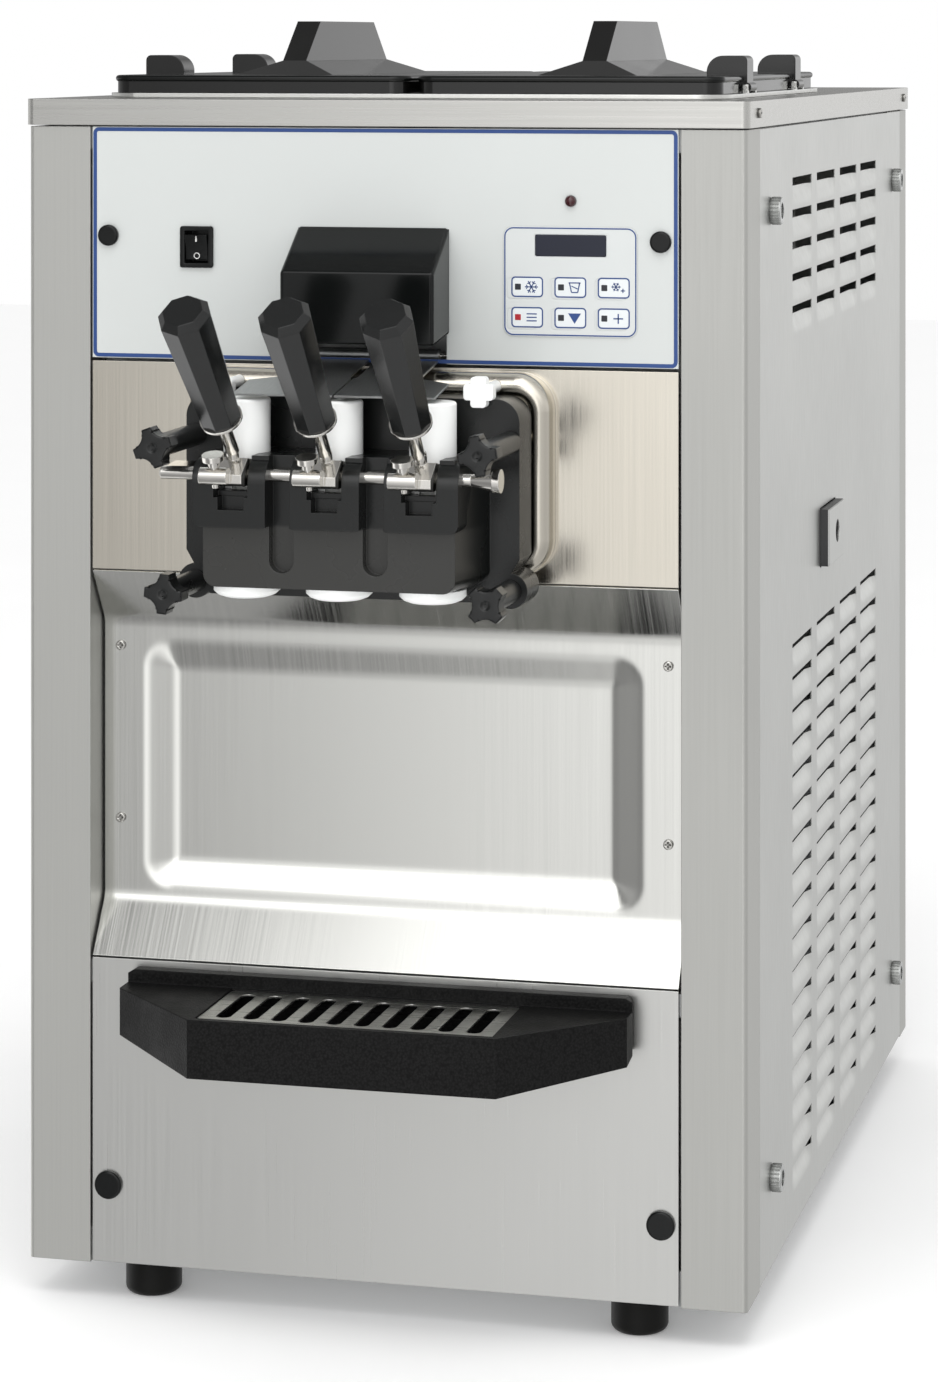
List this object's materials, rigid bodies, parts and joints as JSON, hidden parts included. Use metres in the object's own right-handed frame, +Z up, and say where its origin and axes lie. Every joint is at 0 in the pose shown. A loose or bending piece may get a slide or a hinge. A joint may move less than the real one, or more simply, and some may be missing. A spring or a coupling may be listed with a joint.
{
  "type": "soft serve machine",
  "caption": "Countertop soft serve machine: hoppers under hinged lids, a dispensing head with pull handles over a cup space, and a drip tray.",
  "frame": {"origin": "on the bench, level with the soles of the feet, under the middle of the whole outline, with the handles and the power cord counted in", "axes": "+Z up, the front with the handles faces -Y, and +X is the side on the right hand of someone who faces the handles"},
  "size_m": [0.536, 1.0404, 0.9085],
  "materials": {
    "cabinet_frame": "brushed",
    "corner_posts": "brushed",
    "side_panel_left": "brushed",
    "side_panel_right": "brushed",
    "rear_panel": "brushed",
    "top_cover": "brushed",
    "control_panel": "satin white with a blue border line",
    "dispenser_plate": "brushed",
    "splash_panel": "brushed",
    "lower_front_panel": "brushed",
    "drip_tray": "grained",
    "drip_grid": "satin",
    "feet": "matt",
    "panel_plugs": "satin",
    "panel_screws": "zinc plated",
    "thumb_screws": "knurled",
    "switch_bezel": "gloss",
    "switch_rocker": "gloss",
    "keypad_overlay": "printed film",
    "controller": "matt",
    "switch_hood": "satin gloss",
    "flap_rod": "bright",
    "flap_left": "dull",
    "flap_right": "dull",
    "door_body": "satin",
    "door_gaskets": "silicone",
    "door_knob_upper_left": "satin",
    "door_knob_upper_right": "satin",
    "door_knob_lower_left": "satin",
    "door_knob_lower_right": "satin",
    "pivot_pin": "bright",
    "lever_left": "bright",
    "lever_centre": "bright",
    "lever_right": "bright",
    "grip_left": "satin",
    "grip_centre": "satin",
    "grip_right": "satin",
    "adjust_screw_left": "bright",
    "adjust_screw_centre": "bright",
    "adjust_screw_right": "bright",
    "valve_left": "moulded",
    "valve_centre": "moulded",
    "valve_right": "moulded",
    "nozzle_caps": "moulded",
    "bleed_plug_left": "moulded",
    "bleed_plug_right": "moulded",
    "hopper_pans": "polished",
    "lid_left": "gloss",
    "lid_right": "gloss",
    "mix_tubes": "moulded",
    "freezing_cylinders": "bright",
    "beater_left": "moulded",
    "beater_right": "moulded",
    "gear_motors": "semi-gloss",
    "compressor": "semi-gloss",
    "condenser": "plain",
    "fan_motor": "matt",
    "fan_blade": "plain",
    "leak_drawer": "brushed",
    "power_cord": "matt"
  },
  "bodies": {
    "cabinet": {"cabinet_frame": "cabinet_frame", "corner_posts": "corner_posts", "side_panel_left": "side_panel_left", "side_panel_right": "side_panel_right", "rear_panel": "rear_panel", "top_cover": "top_cover", "control_panel": "control_panel", "dispenser_plate": "dispenser_plate", "splash_panel": "splash_panel", "lower_front_panel": "lower_front_panel", "feet": "feet", "panel_plugs": "panel_plugs", "panel_screws": "panel_screws", "thumb_screws": "thumb_screws", "switch_bezel": "switch_bezel", "keypad_overlay": "keypad_overlay", "controller": "controller", "switch_hood": "switch_hood", "door_body": "door_body", "door_gaskets": "door_gaskets", "pivot_pin": "pivot_pin", "nozzle_caps": "nozzle_caps", "hopper_pans": "hopper_pans", "mix_tubes": "mix_tubes", "freezing_cylinders": "freezing_cylinders", "gear_motors": "gear_motors", "compressor": "compressor", "condenser": "condenser", "fan_motor": "fan_motor", "power_cord": "power_cord"},
    "handle_left": {"lever_left": "lever_left", "grip_left": "grip_left", "adjust_screw_left": "adjust_screw_left"},
    "handle_centre": {"lever_centre": "lever_centre", "grip_centre": "grip_centre", "adjust_screw_centre": "adjust_screw_centre"},
    "handle_right": {"lever_right": "lever_right", "grip_right": "grip_right", "adjust_screw_right": "adjust_screw_right"},
    "plunger_left": {"valve_left": "valve_left"},
    "plunger_centre": {"valve_centre": "valve_centre"},
    "plunger_right": {"valve_right": "valve_right"},
    "flap_shaft": {"flap_rod": "flap_rod"},
    "flap_plate_left": {"flap_left": "flap_left"},
    "flap_plate_right": {"flap_right": "flap_right"},
    "knob_upper_left": {"door_knob_upper_left": "door_knob_upper_left"},
    "knob_upper_right": {"door_knob_upper_right": "door_knob_upper_right"},
    "knob_lower_left": {"door_knob_lower_left": "door_knob_lower_left"},
    "knob_lower_right": {"door_knob_lower_right": "door_knob_lower_right"},
    "bleed_left": {"bleed_plug_left": "bleed_plug_left"},
    "bleed_right": {"bleed_plug_right": "bleed_plug_right"},
    "hopper_lid_left": {"lid_left": "lid_left"},
    "hopper_lid_right": {"lid_right": "lid_right"},
    "rocker": {"switch_rocker": "switch_rocker"},
    "tray": {"drip_tray": "drip_tray"},
    "grid": {"drip_grid": "drip_grid"},
    "drawer": {"leak_drawer": "leak_drawer"},
    "beater_shaft_left": {"beater_left": "beater_left"},
    "beater_shaft_right": {"beater_right": "beater_right"},
    "fan": {"fan_blade": "fan_blade"}
  },
  "joints": [
    {"name": "handle_left_pull", "type": "hinge", "parent": "cabinet", "child": "handle_left", "pos_m": [-0.0705, -0.4093, 0.602], "axis": [1, 0, 0], "range_deg": [0, 30]},
    {"name": "handle_centre_pull", "type": "hinge", "parent": "cabinet", "child": "handle_centre", "pos_m": [-0.005, -0.4093, 0.602], "axis": [1, 0, 0], "range_deg": [0, 30]},
    {"name": "handle_right_pull", "type": "hinge", "parent": "cabinet", "child": "handle_right", "pos_m": [0.0605, -0.4093, 0.602], "axis": [1, 0, 0], "range_deg": [0, 30]},
    {"name": "valve_left_lift", "type": "slide", "parent": "cabinet", "child": "plunger_left", "axis": [0, 0, 1], "range_m": [0, 0.0126]},
    {"name": "valve_centre_lift", "type": "slide", "parent": "cabinet", "child": "plunger_centre", "axis": [0, 0, 1], "range_m": [0, 0.0126]},
    {"name": "valve_right_lift", "type": "slide", "parent": "cabinet", "child": "plunger_right", "axis": [0, 0, 1], "range_m": [0, 0.0126]},
    {"name": "flap_rod_turn", "type": "hinge", "parent": "cabinet", "child": "flap_shaft", "pos_m": [-0.005, -0.2983, 0.675], "axis": [-1, 0, 0], "range_deg": [0, 7.3]},
    {"name": "flap_left_turn", "type": "hinge", "parent": "flap_shaft", "child": "flap_plate_left", "pos_m": [-0.03, -0.2983, 0.675], "axis": [-1, 0, 0], "range_deg": [0, 7.3]},
    {"name": "flap_right_turn", "type": "hinge", "parent": "flap_shaft", "child": "flap_plate_right", "pos_m": [0.02, -0.2983, 0.675], "axis": [-1, 0, 0], "range_deg": [0, 7.3]},
    {"name": "knob_upper_left_turn", "type": "hinge", "parent": "cabinet", "child": "knob_upper_left", "pos_m": [-0.117, -0.3943, 0.6222], "axis": [0, 1, 0], "continuous": true},
    {"name": "knob_upper_right_turn", "type": "hinge", "parent": "cabinet", "child": "knob_upper_right", "pos_m": [0.107, -0.3943, 0.6222], "axis": [0, 1, 0], "continuous": true},
    {"name": "knob_lower_left_turn", "type": "hinge", "parent": "cabinet", "child": "knob_lower_left", "pos_m": [-0.117, -0.3943, 0.5215], "axis": [0, 1, 0], "continuous": true},
    {"name": "knob_lower_right_turn", "type": "hinge", "parent": "cabinet", "child": "knob_lower_right", "pos_m": [0.107, -0.3943, 0.5215], "axis": [0, 1, 0], "continuous": true},
    {"name": "bleed_left_pull", "type": "slide", "parent": "cabinet", "child": "bleed_left", "axis": [0, -1, 0], "range_m": [0, 0.02]},
    {"name": "bleed_right_pull", "type": "slide", "parent": "cabinet", "child": "bleed_right", "axis": [0, -1, 0], "range_m": [0, 0.02]},
    {"name": "lid_left_open", "type": "hinge", "parent": "cabinet", "child": "hopper_lid_left", "pos_m": [-0.2295, -0.0298, 0.86], "axis": [0, -1, 0], "range_deg": [0, 95]},
    {"name": "lid_right_open", "type": "hinge", "parent": "cabinet", "child": "hopper_lid_right", "pos_m": [0.2295, -0.0298, 0.86], "axis": [0, 1, 0], "range_deg": [0, 95]},
    {"name": "power_switch", "type": "hinge", "parent": "cabinet", "child": "rocker", "pos_m": [-0.1342, -0.2993, 0.7485], "axis": [-1, 0, 0], "range_deg": [0, 14]},
    {"name": "drip_tray_pull", "type": "slide", "parent": "cabinet", "child": "tray", "axis": [0, -1, 0], "range_m": [0, 0.04]},
    {"name": "drip_grid_lift", "type": "slide", "parent": "tray", "child": "grid", "axis": [0, 0, 1], "range_m": [0, 0.06]},
    {"name": "leak_drawer_pull", "type": "slide", "parent": "cabinet", "child": "drawer", "axis": [1, 0, 0], "range_m": [0, 0.28]},
    {"name": "beater_left_spin", "type": "hinge", "parent": "cabinet", "child": "beater_shaft_left", "pos_m": [-0.062, -0.1043, 0.595], "axis": [0, 1, 0], "continuous": true},
    {"name": "beater_right_spin", "type": "hinge", "parent": "cabinet", "child": "beater_shaft_right", "pos_m": [0.052, -0.1043, 0.595], "axis": [0, 1, 0], "continuous": true},
    {"name": "fan_spin", "type": "hinge", "parent": "cabinet", "child": "fan", "pos_m": [0.172, 0.0257, 0.217], "axis": [1, 0, 0], "continuous": true}
  ],
  "couplings": [
    {"joint": "valve_left_lift", "follows": "handle_left_pull", "m_per_rad": 0.02395},
    {"joint": "valve_centre_lift", "follows": "handle_centre_pull", "m_per_rad": 0.02395},
    {"joint": "valve_right_lift", "follows": "handle_right_pull", "m_per_rad": 0.02395},
    {"joint": "flap_rod_turn", "follows": "handle_centre_pull", "ratio": 0.24},
    {"joint": "flap_left_turn", "follows": "handle_left_pull", "ratio": 0.24},
    {"joint": "flap_right_turn", "follows": "handle_right_pull", "ratio": 0.24}
  ]
}
